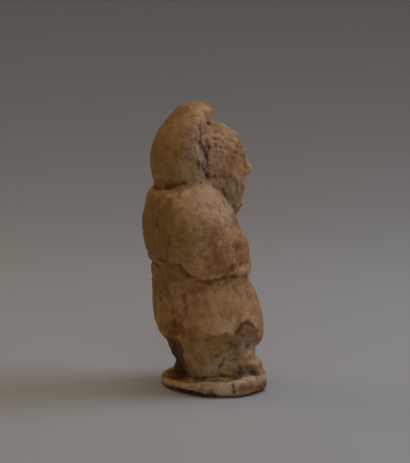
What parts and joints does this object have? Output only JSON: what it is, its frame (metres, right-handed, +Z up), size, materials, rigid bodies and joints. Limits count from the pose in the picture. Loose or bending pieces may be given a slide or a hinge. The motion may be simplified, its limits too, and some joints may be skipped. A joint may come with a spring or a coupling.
{
  "type": "terracotta dwarf figure",
  "caption": "Small fired-clay figure of a stocky bearded dwarf in a hooded cape and tunic, hands folded on the belly, standing on a thin hand-pressed slab.",
  "frame": {"origin": "centre of the figure's outline seen from above, on the surface it stands on", "axes": "+Z up along the figure's height; the figure faces -Y, and its right side is -X"},
  "size_m": [0.0478, 0.0484, 0.113],
  "materials": {
    "terracotta": "unglazed buff-orange fired clay, hand-modelled, matt, worn and pitted, with olive, reddish-brown and grey dirt in the hollows"
  },
  "bodies": {
    "root": {"dwarf_figure": "terracotta"}
  },
  "joints": []
}
